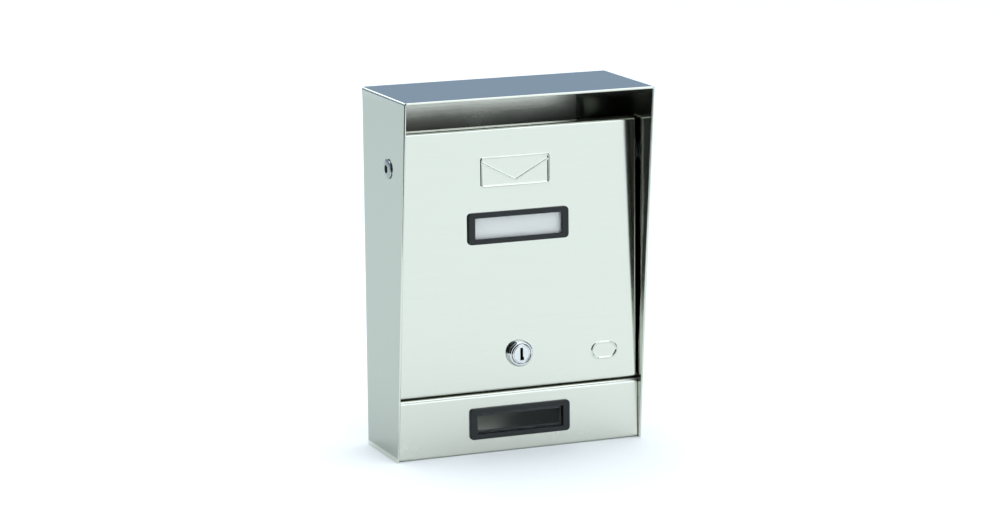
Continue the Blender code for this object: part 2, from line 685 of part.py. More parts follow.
def make_lock(chrome, zinc, steel):
    """Cam lock on the door: fixed housing and nut, and a plug that turns the cam."""
    axis = forward_axis(0, LOCK_HEIGHT)
    seat = FRONT_PLANE + GAP
    face = FRONT_PLANE + BEZEL_PROUD
    barrel_end = FRONT_PLANE - BARREL_LENGTH
    bore = PLUG_RADIUS + GAP
    rim = [
        (BEZEL_RADIUS - BEZEL_TAPER * (1 - math.cos(a)), face - BEZEL_DOME * (1 - math.sin(a)))
        for a in (math.radians(15 * i) for i in range(7))
    ]
    profile = [(0, seat), (BEZEL_RADIUS, seat)] + rim + [(0, face)]
    housing = add("lock_housing", turned(profile, 48, axis), chrome)
    outline = [(a, LOCK_HEIGHT + b) for a, b in cut_round(BARREL_RADIUS, BARREL_FLATS, 40)]
    boolean(housing, "barrel", prism(outline, facing_front, barrel_end, seat + GAP), "UNION")
    cutter = turned([(0, 0), (bore, 0), (bore, FAR), (0, FAR)], 48, axis)
    boolean(housing, "bore", cutter)

    outline = [(a, LOCK_HEIGHT + b) for a, b in hexagon(LOCK_NUT_FLATS)]
    nut_front = FRONT_PLANE - DOOR_SHEET - GAP
    nut = add("lock_nut", prism(outline, facing_front, nut_front - LOCK_NUT_HEIGHT, nut_front), zinc)
    outline = [(a, LOCK_HEIGHT + b) for a, b in cut_round(BARREL_RADIUS + GAP, BARREL_FLATS + GAP, 40)]
    boolean(nut, "bore", prism(outline, facing_front, 0, FAR))

    plug_face = FRONT_PLANE + PLUG_PROUD
    plug_end = barrel_end - GAP
    cam_front = plug_end - GAP
    tail_end = cam_front - CAM_THICKNESS - GAP
    profile = [(0, plug_end), (PLUG_RADIUS, plug_end), (PLUG_RADIUS, plug_face - GAP)]
    profile += [(PLUG_RADIUS - GAP, plug_face), (0, plug_face)]
    plug = add("lock_plug", turned(profile, 40, axis), chrome)
    half = TAIL_SIDE / 2
    tail = box(
        (-half, at(plug_end + GAP), LOCK_HEIGHT - half),
        (half, at(tail_end), LOCK_HEIGHT + half),
    )
    boolean(plug, "tail", tail, "UNION")
    bore = CAM_SCREW_RADIUS + GAP
    bottom = tail_end + CAM_SCREW_LENGTH + GAP
    profile = [(0, 0), (bore, 0), (bore, bottom), (0, bottom)]
    boolean(plug, "screw_bore", turned(profile, 24, axis))
    half_high = KEYWAY_HEIGHT / 2
    keyway = box(
        (-KEYWAY_WIDTH / 2, at(FAR), LOCK_HEIGHT - half_high),
        (KEYWAY_WIDTH / 2, at(plug_face - KEYWAY_DEPTH), LOCK_HEIGHT + half_high),
    )
    boolean(plug, "keyway", keyway)

    hub, tip = CAM_HUB_RADIUS, CAM_TIP_RADIUS
    reach = CAM_REACH - tip
    lean = math.degrees(math.asin((hub - tip) / reach))
    outline = arc((0, LOCK_HEIGHT), hub, 90 - lean, 270 + lean, 14)
    outline += arc((reach, LOCK_HEIGHT), tip, lean - 90, 90 - lean, 8)
    cam = add("lock_cam", prism(outline, facing_front, cam_front - CAM_THICKNESS, cam_front), zinc)
    half += GAP
    hole = box((-half, at(FAR), LOCK_HEIGHT - half), (half, at(0), LOCK_HEIGHT + half))
    boolean(cam, "square_hole", hole)

    head = tail_end - GAP
    shank = CAM_SCREW_RADIUS
    profile = [
        (0, head - CAM_SCREW_HEAD_HEIGHT),
        (CAM_SCREW_HEAD * 0.8, head - CAM_SCREW_HEAD_HEIGHT),
        (CAM_SCREW_HEAD, head - CAM_SCREW_HEAD_HEIGHT * 0.6),
        (CAM_SCREW_HEAD, head),
        (shank, head),
        (shank, tail_end + CAM_SCREW_LENGTH),
        (0, tail_end + CAM_SCREW_LENGTH),
    ]
    add("lock_cam_screw", turned(profile, 24, axis), steel)


def hang_on(pivot_name, place, names, parent=None):
    """An empty on a joint's axis, with the pieces that turn about it as its children."""
    pivot = bpy.data.objects.new(pivot_name, None)
    pivot.location = place
    bpy.context.scene.collection.objects.link(pivot)
    for name in names:
        bpy.data.objects[name].parent = pivot
        bpy.data.objects[name].matrix_parent_inverse = Matrix.Translation(place).inverted()
    if parent:
        pivot.parent = parent
        pivot.matrix_parent_inverse = Matrix.Translation(parent.location).inverted()
    return pivot


def clear_scene():
    for existing in list(bpy.data.objects):
        bpy.data.objects.remove(existing, do_unlink=True)


def main():
    clear_scene()
    stainless = make_material("bright_stainless_sheet", "c9d0cc", 1.0, 0.22)
    chrome = make_material("chromed_zinc", "d4d8d8", 1.0, 0.08)
    zinc = make_material("zinc_plated_steel", "a9adab", 1.0, 0.35)
    screw_steel = make_material("screw_steel", "b4b8b6", 1.0, 0.25)
    nylon = make_material("black_nylon", "16191a", 0.0, 0.5)
    abs_plastic = make_material("black_abs", "2b3639", 0.0, 0.4)
    clear = make_material("clear_acrylic", "dfe8e8", 0.0, 0.05)
    paper = make_material("white_card", "e4e7ee", 0.0, 0.8)
    make_hood(stainless)
    make_body(stainless)
    make_rivets(screw_steel)
    make_door(stainless)
    make_pivots(screw_steel, nylon)
    make_name_holder(abs_plastic, clear, paper)
    make_window(abs_plastic, clear)
    make_lock(chrome, zinc, screw_steel)
    for made in list(bpy.data.objects):
        if made.modifiers:
            weld(made)
    hinge = hang_on("door_hinge_axis", (0, at(PIVOT_AHEAD), PIVOT_HEIGHT), DOOR_PIECES)
    hang_on("lock_axis", (0, at(FRONT_PLANE), LOCK_HEIGHT), LOCK_PIECES, hinge)


main()
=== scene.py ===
import math

import bmesh
import bpy
import numpy as np
from bpy.props import FloatProperty, FloatVectorProperty, IntProperty, PointerProperty
from mathutils import Matrix, Vector


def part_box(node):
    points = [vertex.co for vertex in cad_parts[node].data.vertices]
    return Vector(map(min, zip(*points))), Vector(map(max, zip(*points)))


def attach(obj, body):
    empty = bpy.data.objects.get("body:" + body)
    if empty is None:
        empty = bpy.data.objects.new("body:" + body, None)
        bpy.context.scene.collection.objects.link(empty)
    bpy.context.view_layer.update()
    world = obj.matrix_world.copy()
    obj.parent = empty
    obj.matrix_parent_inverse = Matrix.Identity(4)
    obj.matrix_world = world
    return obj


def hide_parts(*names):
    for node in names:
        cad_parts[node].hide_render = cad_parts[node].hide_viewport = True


bl_info = {
    "name": "Wall Letterbox",
    "version": (1, 0, 0),
    "blender": (4, 5, 0),
    "location": "View3D > Sidebar > Letterbox",
    "description": "Finishes a stainless wall letterbox around its packed solids",
    "category": "Object",
}

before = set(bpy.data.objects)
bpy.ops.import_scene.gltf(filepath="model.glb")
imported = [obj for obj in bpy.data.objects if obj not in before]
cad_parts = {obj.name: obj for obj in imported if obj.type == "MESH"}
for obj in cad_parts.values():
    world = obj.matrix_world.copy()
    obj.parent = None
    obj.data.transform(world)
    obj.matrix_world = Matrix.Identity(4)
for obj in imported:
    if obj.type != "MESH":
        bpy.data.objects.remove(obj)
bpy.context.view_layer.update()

MM = 0.001
EXACT_LIMIT = 6000  # faces, above which the exact Boolean solver takes too long

# What the hood, body and door share: clearances, holes and names
CLEARANCE = 0.3 * MM
PIVOT_HOLE = 4.1 * MM
RIVET_HOLE = 1.9 * MM
FRAME_HOLE = (38.3 * MM, 10.3 * MM)  # half its length and height
OVERRUN = 5 * MM  # how far a cutter runs past what it cuts
SIDES = ((-1, "left"), (1, "right"))
RIVETS = [f"rivet_{name}_{i}" for side, name in SIDES for i in (1, 2, 3)]


def linear(hex_value):
    """Linear colour of an sRGB hex value."""
    parts = [int(hex_value[i : i + 2], 16) / 255 for i in (0, 2, 4)]
    return tuple(p / 12.92 if p <= 0.04045 else ((p + 0.055) / 1.055) ** 2.4 for p in parts)


def length(name, description, millimetres):
    """A length that a user can change."""
    default = millimetres * MM
    return FloatProperty(name=name, description=description, default=default, unit="LENGTH", min=0.0)


def shade(name, description, hex_value):
    """A colour that a user can change."""
    return FloatVectorProperty(
        name=name,
        description=description,
        default=linear(hex_value),
        size=3,
        subtype="COLOR",
        min=0.0,
        max=1.0,
    )


def tilt(name, description, degrees):
    """An angle that a user can change."""
    default = math.radians(degrees)
    return FloatProperty(name=name, description=description, default=default, subtype="ANGLE")


class SheetSizes(bpy.types.PropertyGroup):
    """Sizes of the folded sheet pieces."""

    hood_sheet: length("Hood sheet", "Thickness of the hood's sheet", 1.0)
    hood_foot_depth: length("Hood depth at the foot", "From the wall to the front edge at the base", 66.0)
    roof_bend: length("Roof bend", "Outer radius between roof and side wall", 2.2)
    rear_bend: length("Rear bend", "Outer radius between side wall and rear flange", 1.5)
    hem: length("Hem", "Thickness of the folded front edge", 2.0)
    hem_width: length("Hem width", "How far the folded front edge reaches back", 7.0)
    rear_flange: length("Rear flange", "Width of the hood's rear flange", 25.0)
    body_sheet: length("Body sheet", "Thickness of the body's and the door's sheet", 0.8)
    front_bend: length("Front bend", "Middle radius of the bend along the lower front", 3.2)
    foot_bend: length("Foot bend", "Middle radius of the body's other bends", 1.6)
    return_depth: length("Return", "Depth of the return behind the lower front", 10.0)
    lip: length("Lip", "Height of the lip behind the door's foot", 5.5)
    door_bend: length("Door bend", "Outer radius around the door's face", 2.0)
    door_flange: length("Door side flange", "Depth of the door's side flanges", 15.0)
    door_head: length("Door head flange", "Depth of the door's head flange", 10.0)
    door_foot: length("Door foot flange", "Depth of the door's foot flange", 8.0)


class PressedSizes(bpy.types.PropertyGroup):
    """Sizes of what is pressed into the door's sheet."""

    bead: length("Bead width", "Width of a pressed line", 1.6)
    rise: length("Bead rise", "Height of a pressed line", 0.55)
    envelope_length: length("Envelope length", "Length of the pressed envelope", 54.2)
    envelope_height: length("Envelope height", "Height of the pressed envelope", 21.5)
    envelope_right: FloatProperty(
        name="Envelope right",
        description="Envelope's centre, right of the middle",
        default=-2 * MM,
        unit="LENGTH",
    )
    envelope_up: length("Envelope up", "Envelope's centre, above the base", 215.0)
    flap_start: length("Flap start", "How far below its top the envelope's flap starts", 3.8)
    flap: length("Flap", "Drop of the envelope's flap", 18.0)
    oval_length: length("Oval length", "Length of the pressed oval", 20.0)
    oval_height: length("Oval height", "Height of the pressed oval", 12.0)
    oval_right: length("Oval right", "Oval's centre, right of the middle", 70.0)
    oval_up: length("Oval up", "Oval's centre, above the base", 70.9)


class FinishColours(bpy.types.PropertyGroup):
    """Colours of the finishes."""

    stainless: shade("Stainless", "Bright annealed stainless sheet", "d3d5cb")
    chrome: shade("Chrome", "Chrome plate on the lock", "d9dcdc")
    zinc: shade("Zinc plate", "Bright zinc plate", "b9bdbd")
    screw: shade("Screw steel", "Turned stainless screws", "c3c6c4")
    abs_black: shade("Black ABS", "Moulded frames", "0c1214")
    nylon: shade("Black nylon", "Pivot spacers", "141617")
    acrylic: shade("Clear acrylic", "Panes", "f4f8f8")
    card: shade("Card", "Blank name card", "f3f1e9")
    floor: shade("Floor", "Pale floor", "f8f9f6")


class StageSettings(bpy.types.PropertyGroup):
    """Camera and light."""

    focal: FloatProperty(name="Focal length", description="Camera's focal length in mm", default=125.97)
    azimuth: tilt("Azimuth", "Camera's turn about the vertical", -21.81)
    elevation: tilt("Elevation", "Camera's tilt down", 11.28)
    roll: tilt("Roll", "Camera's roll", -0.569)
    sides: IntProperty(name="Sides", description="Sides of a round piece", default=96, min=12)


def sheets():
    return bpy.context.scene.letterbox_sheets


def colours():
    return bpy.context.scene.letterbox_colours


# Planes and edges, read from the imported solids

HOOD_LOW, HOOD_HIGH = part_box("hood")
BODY_LOW, BODY_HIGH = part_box("body")
DOOR_LOW, DOOR_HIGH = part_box("door_panel")
WALL_Y = BODY_HIGH.y
FRONT_Y = BODY_LOW.y


def extent(node):
    """A solid's lowest and highest corners, and the middle between them."""
    low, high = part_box(node)
    return low, high, (low + high) / 2


# Mesh making


def new_object(name, data):
    """An object in the scene, for a mesh, a lamp or a camera."""
    made = bpy.data.objects.new(name, data)
    bpy.context.scene.collection.objects.link(made)
    return made


def arc(centre, radius, start, end, steps):
    """Points on an arc: centre + radius (cos a, sin a), with a from start to end in degrees."""
    a = np.radians(np.linspace(start, end, steps + 1))
    return np.column_stack((centre[0] + radius * np.cos(a), centre[1] + radius * np.sin(a)))


def grid_faces(rows, columns, wrap_rows=False, wrap_columns=False, offset=0):
    """Quads of a grid of points, numbered along its columns first."""
    index = np.arange(rows * columns).reshape(rows, columns) + offset
    if wrap_rows:
        index = np.vstack((index, index[:1]))
    if wrap_columns:
        index = np.hstack((index, index[:, :1]))
    quads = np.stack((index[:-1, :-1], index[:-1, 1:], index[1:, 1:], index[1:, :-1]), axis=-1)
    return quads.reshape(-1, 4)


def make_piece(name, points, faces, caps=(), smooth_angle=30, merge=1e-6):
    """A closed piece from arrays: doubled points merge, faces turn outwards and round faces shade smooth."""
    mesh = bpy.data.meshes.new(name)
    mesh.from_pydata(points.reshape(-1, 3), [], [list(f) for f in faces] + [list(c) for c in caps])
    shape = bmesh.new()
    shape.from_mesh(mesh)
    bmesh.ops.remove_doubles(shape, verts=shape.verts, dist=merge)
    bmesh.ops.dissolve_degenerate(shape, edges=shape.edges, dist=merge)
    bmesh.ops.recalc_face_normals(shape, faces=shape.faces)
    shape.to_mesh(mesh)
    shape.free()
    made = new_object(name, mesh)
    shade_round(made, smooth_angle)
    return made


def shade_round(made, smooth_angle=30):
    made.data.shade_smooth()
    made.data.set_sharp_from_angle(angle=math.radians(smooth_angle))


def even_flats(made):
    """Weights the normals by face area, so that a flat beside a bend keeps one clean tone."""
    modifier = made.modifiers.new("even flats", "WEIGHTED_NORMAL")
    modifier.mode = "FACE_AREA"
    modifier.keep_sharp = True
    modifier.weight = 80


def cut(made, cutters, smooth_angle=30, operation="DIFFERENCE"):
    """Cuts closed pieces from another, keeps the result as its mesh and removes the cutters."""
    for cutter in cutters:
        modifier = made.modifiers.new("cut", "BOOLEAN")
        modifier.operation = operation
        modifier.solver = "EXACT" if len(made.data.polygons) < EXACT_LIMIT else "MANIFOLD"
        modifier.object = cutter
    graph = bpy.context.evaluated_depsgraph_get()
    result = bpy.data.meshes.new_from_object(made.evaluated_get(graph))
    made.modifiers.clear()
    made.data = result
    for cutter in cutters:
        bpy.data.objects.remove(cutter)
    shade_round(made, smooth_angle)
    return made


def dress(made, body, material, replaced):
    """Gives a piece its finish, the body it rides on and the solids that it stands for."""
    made.data.materials.clear()
    made.data.materials.append(material)
    even_flats(made)
    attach(made, body)
    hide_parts(*replaced)
    return made


def lathe(name, profile, place, sides=None, flat=None, flat_rows=slice(None), smooth_angle=30):
    """A turned piece: each profile point (radius, along) goes once round the axis, then place puts it.

    With flat, no point of the flat rows lies further than that to either side of the axis, which
    gives two flats. A profile that ends where it starts makes a ring.
    """
    sides = sides or bpy.context.scene.letterbox_stage.sides
    profile = np.asarray(profile, float)
    a = np.linspace(0, 2 * np.pi, sides, endpoint=False)
    across = profile[:, :1] * np.cos(a)
    if flat:
        across[flat_rows] = np.clip(across[flat_rows], -flat, flat)
    up = profile[:, :1] * np.sin(a)
    along = np.repeat(profile[:, 1:2], sides, axis=1)
    points = place(across, up, along)
    faces = grid_faces(len(profile), sides, wrap_columns=True)
    ring = np.arange(sides)
    caps = [ring, ring[::-1] + (len(profile) - 1) * sides]
    if np.allclose(profile[0], profile[-1]):
        caps = []
    return make_piece(name, points, faces, caps, smooth_angle)


def drill(radius, start, end, place, sides=32, flat=None):
    """A round cutter between two places along its axis."""
    return lathe("cutter", [(radius, start), (radius, end)], place, sides, flat)


def facing_front(x, z):
    """Places across, up, along as X, Z and the distance from the wall, about a line at x, z."""
    return lambda across, up, along: np.stack((x + across, WALL_Y - along, z + up), axis=-1)


def facing_side(side, y, z):
    """Places across, up, along as Y, Z and the distance out of a side wall from the middle."""
    return lambda across, up, along: np.stack((side * along, y + across, z + up), axis=-1)


def prism(name, outline, place, low, high, smooth_angle=30):
    """An outline (across, up) carried straight from low to high along the third direction."""
    outline = np.asarray(outline, float)
    across = np.repeat(outline[None, :, 0], 2, axis=0)
    up = np.repeat(outline[None, :, 1], 2, axis=0)
    along = np.repeat([[low], [high]], len(outline), axis=1)
    points = place(across, up, along)
    count = len(outline)
    caps = [np.arange(count), np.arange(count)[::-1] + count]
    return make_piece(name, points, grid_faces(2, count, wrap_columns=True), caps, smooth_angle)


def block(name, low, high):
    """A box between two corners."""
    outline = [(low[0], low[2]), (high[0], low[2]), (high[0], high[2]), (low[0], high[2])]
    place = lambda across, up, along: np.stack((across, along, up), axis=-1)
    return prism(name, outline, place, low[1], high[1])


def half_sizes(node):
    """Half a solid's length and height, its back's and front's distances from the wall, and its middle."""
    low, high, centre = extent(node)
    return (high.x - low.x) / 2, (high.z - low.z) / 2, WALL_Y - high.y, WALL_Y - low.y, (centre.x, centre.z)


def frame_hole(node):
    """Cutter for the opening that a frame's collar passes through."""
    centre = extent(node)[2]
    half_x, half_z = FRAME_HOLE
    low = (centre.x - half_x, FRONT_Y - OVERRUN, centre.z - half_z)
    high = (centre.x + half_x, FRONT_Y + OVERRUN, centre.z + half_z)
    return block("cutter", low, high)


def rounded_loops(name, rows, centre, steps=6, closed=True, smooth_angle=30):
    """A moulding whose rows are rounded rectangles: (half length, half height, corner radius, along).

    Each row's corners are quarter circles about centres one radius inside its corners. Closed rows
    meet end to end, and otherwise the first and last row are capped.
    """
    rows = np.asarray(rows, float)
    a = np.radians(np.concatenate([np.linspace(q, q + 90, steps + 1) for q in (0, 90, 180, 270)]))
    sign_x = np.repeat([1, -1, -1, 1], steps + 1)
    sign_z = np.repeat([1, 1, -1, -1], steps + 1)
    half_x, half_z, radius, along = (rows[:, i : i + 1] for i in range(4))
    across = sign_x * (half_x - radius) + radius * np.cos(a)
    up = sign_z * (half_z - radius) + radius * np.sin(a)
    along = np.repeat(along, len(a), axis=1)
    points = facing_front(*centre)(across, up, along)
    faces = grid_faces(len(rows), len(a), wrap_rows=closed, wrap_columns=True)
    ring = np.arange(len(a))
    caps = [] if closed else [ring, ring[::-1] + (len(rows) - 1) * len(a)]
    return make_piece(name, points, faces, caps, smooth_angle)


def folded_outline(corners, bends, thickness, steps=10):
    """Outline of a folded sheet in two dimensions.

    Corners lie on the sheet's middle line and each bend is a quarter circle of its middle radius.
    Both faces lie half a thickness to either side of that line, along its normal.
    """
    line = [np.array(corners[0])]
    for before, here, after, bend in zip(corners, corners[1:], corners[2:], bends):
        before, here, after = np.array(before), np.array(here), np.array(after)
        away = (before - here) / np.linalg.norm(before - here)
        onward = (after - here) / np.linalg.norm(after - here)
        centre = here + bend * (away + onward)
        turn = np.linspace(0, np.pi / 2, steps + 1)[:, None]
        points = centre - bend * (np.cos(turn) * onward + np.sin(turn) * away)
        line.extend(points)
    line.append(np.array(corners[-1]))
    line = np.array(line)
    step = np.diff(line, axis=0)
    step /= np.linalg.norm(step, axis=1)[:, None]
    tangent = np.vstack((step[:1], step[:-1] + step[1:], step[-1:]))
    tangent /= np.linalg.norm(tangent, axis=1)[:, None]
    normal = np.column_stack((-tangent[:, 1], tangent[:, 0])) * thickness / 2
    return np.vstack((line + normal, (line - normal)[::-1]))


# Finishes


def add_node(tree, kind, settings=(), links=(), **values):
    """Adds a node, sets its properties and input values, and links other nodes' outputs to its inputs."""
    node = tree.nodes.new(kind)
    for key, value in dict(settings).items():
        setattr(node, key, value)
    for key, value in values.items():
        node.inputs[key.replace("_", " ")].default_value = value
    for key, output in dict(links).items():
        tree.links.new(output, node.inputs[key])
    return node


def new_finish(name, colour, metallic, roughness, ior=None):
    """A material, its node tree and its shader, with the values that are the same all over."""
    made = bpy.data.materials.new(name)
    made.use_nodes = True
    shader = made.node_tree.nodes["Principled BSDF"]
    shader.inputs["Base Color"].default_value = (*colour, 1.0)
    shader.inputs["Metallic"].default_value = metallic
    shader.inputs["Roughness"].default_value = roughness
    if ior:
        shader.inputs["IOR"].default_value = ior
    return made, made.node_tree, shader


def object_coordinates(tree, scale=(1, 1, 1), turn=(0, 0, 0)):
    """Links to object coordinates in metres, stretched and turned for a pattern."""
    source = add_node(tree, "ShaderNodeTexCoord")
    links = {"Vector": source.outputs["Object"]}
    turned = add_node(tree, "ShaderNodeMapping", links=links, Scale=scale, Rotation=turn)
    return {"Vector": turned.outputs["Vector"]}


def uneven_gloss(tree, shader, noise, low, high):
    """Lets the roughness follow a noise between two limits."""
    links = {"Value": noise.outputs["Fac"]}
    spread = add_node(tree, "ShaderNodeMapRange", links=links, To_Min=low, To_Max=high)
    tree.links.new(spread.outputs["Result"], shader.inputs["Roughness"])


def uneven_tone(tree, shader, noise, most, first, second, blend="MIX"):
    """Moves the base colour from the first towards the second, by a share up to the most."""
    links = {"Value": noise.outputs["Fac"]}
    share = add_node(tree, "ShaderNodeMapRange", links=links, To_Min=0.0, To_Max=most)
    settings = {"data_type": "RGBA", "blend_type": blend}
    links = {"Factor": share.outputs["Result"]}
    tone = add_node(tree, "ShaderNodeMix", settings, links, A=(*first, 1.0), B=(*second, 1.0))
    tree.links.new(tone.outputs["Result"], shader.inputs["Base Color"])


def raised(tree, shader, noise, strength, distance, under=None):
    """Raises a noise from the surface, over an earlier relief if one is given."""
    links = {"Height": noise.outputs["Fac"]}
    if under:
        links["Normal"] = under.outputs["Normal"]
    bump = add_node(tree, "ShaderNodeBump", links=links, Strength=strength, Distance=distance)
    tree.links.new(bump.outputs["Normal"], shader.inputs["Normal"])
    return bump


def bright_stainless(name, fine_along, slope=0.4, gloss=(0.07, 0.13)):
    """Bright annealed 304 sheet.

    Cold rolled between polished rolls and annealed without scale, so it is nearly a mirror across its
    rolling lines, and the lines smear reflections along the direction that crosses them. Lines are
    0.3 mm apart, as coarse as they need to be to show, and 40 mm long. Folding and pressing leave a
    faint ripple about 70 mm from crest to crest, and handling leaves a haze that changes over 20 mm.
    """
    made, tree, shader = new_finish(name, colours().stainless, 1.0, 0.1)
    across, along = 1 / (0.3 * MM), 1 / (40 * MM)
    grain_scale = [across if axis in fine_along else along for axis in "XYZ"]
    drawn = object_coordinates(tree, grain_scale)
    even = object_coordinates(tree)
    grain = add_node(tree, "ShaderNodeTexNoise", links=drawn, Scale=1.0, Detail=1.0)
    ripple = add_node(tree, "ShaderNodeTexNoise", links=even, Scale=1 / (70 * MM), Detail=1.0)
    haze = add_node(tree, "ShaderNodeTexNoise", links=even, Scale=1 / (20 * MM), Detail=4.0)
    uneven_gloss(tree, shader, haze, *gloss)
    uneven_tone(tree, shader, grain, 0.16, colours().stainless, linear("b8c0bc"), "MULTIPLY")
    lines = raised(tree, shader, grain, slope, 0.05 * MM)
    raised(tree, shader, ripple, 0.5, 0.35 * MM, lines)
    return made


def plated(name, colour, roughness, speck=0.6):
    """Plated or turned small parts: bright, with fine wear scratches and a slightly uneven tone."""
    made, tree, shader = new_finish(name, colour, 1.0, roughness)
    even = object_coordinates(tree)
    scratches = {"Scale": 1 / (speck * MM), "Detail": 5.0, "Roughness": 0.7}
    wear = add_node(tree, "ShaderNodeTexNoise", links=even, **scratches)
    cloud = add_node(tree, "ShaderNodeTexNoise", links=even, Scale=1 / (4 * MM), Detail=3.0)
    uneven_gloss(tree, shader, wear, roughness * 0.7, roughness * 1.5)
    uneven_tone(tree, shader, cloud, 0.3, colour, linear("a8adab"), "MULTIPLY")
    raised(tree, shader, wear, 0.08, 0.01 * MM)
    return made


def moulded(name, colour, roughness, ior, texture):
    """Injection-moulded plastic with a fine spark-eroded texture, which gives a soft broken sheen."""
    made, tree, shader = new_finish(name, colour, 0.0, roughness, ior)
    even = object_coordinates(tree)
    pebble = add_node(tree, "ShaderNodeTexNoise", links=even, Scale=1 / (texture * MM), Detail=2.0)
    cloud = add_node(tree, "ShaderNodeTexNoise", links=even, Scale=1 / (9 * MM), Detail=2.0)
    uneven_gloss(tree, shader, cloud, roughness * 0.85, roughness * 1.2)
    lighter = [min(1.0, c * 1.8 + 0.004) for c in colour]
    uneven_tone(tree, shader, pebble, 0.25, colour, lighter)
    raised(tree, shader, pebble, 0.15, 0.05 * MM)
    return made


def clear_pane(name):
    """Clear cast acrylic, polished on both faces, with a few fine wiping marks in its gloss."""
    made, tree, shader = new_finish(name, colours().acrylic, 0.0, 0.03, 1.49)
    shader.inputs["Transmission Weight"].default_value = 1.0
    shader.inputs["Alpha"].default_value = 0.25
    slanted = object_coordinates(tree, (1, 1, 6), (0, 0.5, 0))
    wipe = add_node(tree, "ShaderNodeTexNoise", links=slanted, Scale=1 / (3 * MM), Detail=4.0)
    uneven_gloss(tree, shader, wipe, 0.01, 0.07)
    return made


def smooth_card(name):
    """Uncoated card of 0.4 mm with short fibres just showing in its tone."""
    made, tree, shader = new_finish(name, colours().card, 0.0, 0.8, 1.5)
    lying = object_coordinates(tree, (1, 1, 3))
    fibre = add_node(tree, "ShaderNodeTexNoise", links=lying, Scale=1 / (0.8 * MM), Detail=4.0)
    uneven_tone(tree, shader, fibre, 0.35, colours().card, linear("d3d8df"))
    return made


def pale_floor(name):
    """Pale matt painted board with a very slight unevenness of tone."""
    made, tree, shader = new_finish(name, colours().floor, 0.0, 0.7, 1.45)
    even = object_coordinates(tree)
    cloud = add_node(tree, "ShaderNodeTexNoise", links=even, Scale=3.0, Detail=3.0)
    uneven_tone(tree, shader, cloud, 0.2, colours().floor, linear("edf1ee"))
    return made


# Operators, one for each piece or group of like pieces


class LETTERBOX_OT_hood(bpy.types.Operator):
    """Fold the hood: one sheet up the left wall, over the roof and down the right wall"""

    bl_idname = "letterbox.hood"
    bl_label = "Hood"

    def execute(self, context):
        s = sheets()
        points = self.grid(s)
        stations, section = points.shape[:2]
        faces = grid_faces(stations, section, wrap_columns=True)
        ring = np.arange(section)
        caps = [ring, ring[::-1] + (stations - 1) * section]
        hood = make_piece("hood_shell", points, faces, caps)
        cut(hood, self.holes(s))
        dress(hood, "box", bright_stainless("bright_stainless_hood", "Y"), ["hood"])
        return {"FINISHED"}

    def grid(self, s):
        """Stations along the bend line by points round the sheet's section.

        A station is a point on the outer face with the direction into the box. At depth d into the
        box and distance a from the wall, a section point lies at station + d * inward, and its Y is
        the wall's less a. The front edge's distance grows in proportion to height.
        """
        half, top = HOOD_HIGH.x, HOOD_HIGH.z
        shoulder = top - s.roof_bend
        wall, turn = 3, 13
        heights = np.linspace(0.0, shoulder - WALL_TO_BEND, wall)
        angle = np.radians(np.linspace(180, 90, turn))
        out = np.column_stack((np.cos(angle), np.sin(angle)))
        place = np.vstack(
            (
                np.column_stack((np.full(wall, -half), heights)),
                np.array([-half + s.roof_bend, shoulder]) + s.roof_bend * out,
                [[-half * 0.5, top]],
            )
        )
        inward = np.vstack((np.tile([1.0, 0.0], (wall, 1)), -out, [[0.0, -1.0]]))
        tip = np.repeat([s.rear_flange, s.hood_sheet], [wall, turn + 1])
        bend = np.repeat([s.rear_bend, 0.0], [wall, turn + 1])
        flip = np.array([-1.0, 1.0])
        place = np.vstack((place, place[::-1] * flip))
        inward = np.vstack((inward, inward[::-1] * flip))
        tip = np.concatenate((tip, tip[::-1]))[:, None]
        bend = np.concatenate((bend, bend[::-1]))[:, None]
        front_top, front_foot = WALL_Y - HOOD_LOW.y, s.hood_foot_depth
        front = (front_foot + (front_top - front_foot) * place[:, 1] / top)[:, None]
        rear = WALL_Y - HOOD_HIGH.y
        hem = s.hem / 2
        same = np.ones_like(front)
        back = np.radians(np.linspace(180, 270, 9))
        nose = np.radians(np.linspace(-90, 90, 13))
        ahead = [rear + bend * (1 + np.cos(back)), front - hem + hem * np.cos(nose)]
        deep = [bend * (1 + np.sin(back)), hem * (1 + np.sin(nose)) * same]
        tail = [
            (front - s.hem_width, s.hem * same),
            (front - s.hem_width, s.hood_sheet * same),
            ((rear + s.hood_sheet) * same, s.hood_sheet * same),
            ((rear + s.hood_sheet) * same, tip),
            (rear * same, tip),
        ]
        ahead = np.hstack(ahead + [a for a, _ in tail])
        deep = np.hstack(deep + [d for _, d in tail])
        across = place[:, None, :] + deep[..., None] * inward[:, None, :]
        return np.stack((across[..., 0], WALL_Y - ahead, across[..., 1]), axis=-1)

    def holes(self, s):
        """Pivot and rivet holes, and the notch that clears the body's foot."""
        made = []
        for side, name in SIDES:
            centre = extent(f"pivot_screw_{name}")[2]
            place = facing_side(side, centre.y, centre.z)
            made.append(drill(PIVOT_HOLE, HOOD_HIGH.x - 2 * OVERRUN, HOOD_HIGH.x + 2 * OVERRUN, place, 48))
        for rivet in RIVETS:
            centre = extent(rivet)[2]
            made.append(drill(RIVET_HOLE, 0, OVERRUN, facing_front(centre.x, centre.z)))
        edge = BODY_HIGH.x + CLEARANCE
        high = s.body_sheet / 2 + s.foot_bend + CLEARANCE
        low = (-edge, WALL_Y - s.rear_flange - OVERRUN, -high)
        made.append(block("cutter", low, (edge, WALL_Y + high, high)))
        return made


WALL_TO_BEND = 8 * MM  # from the walls' last straight station to the roof bend


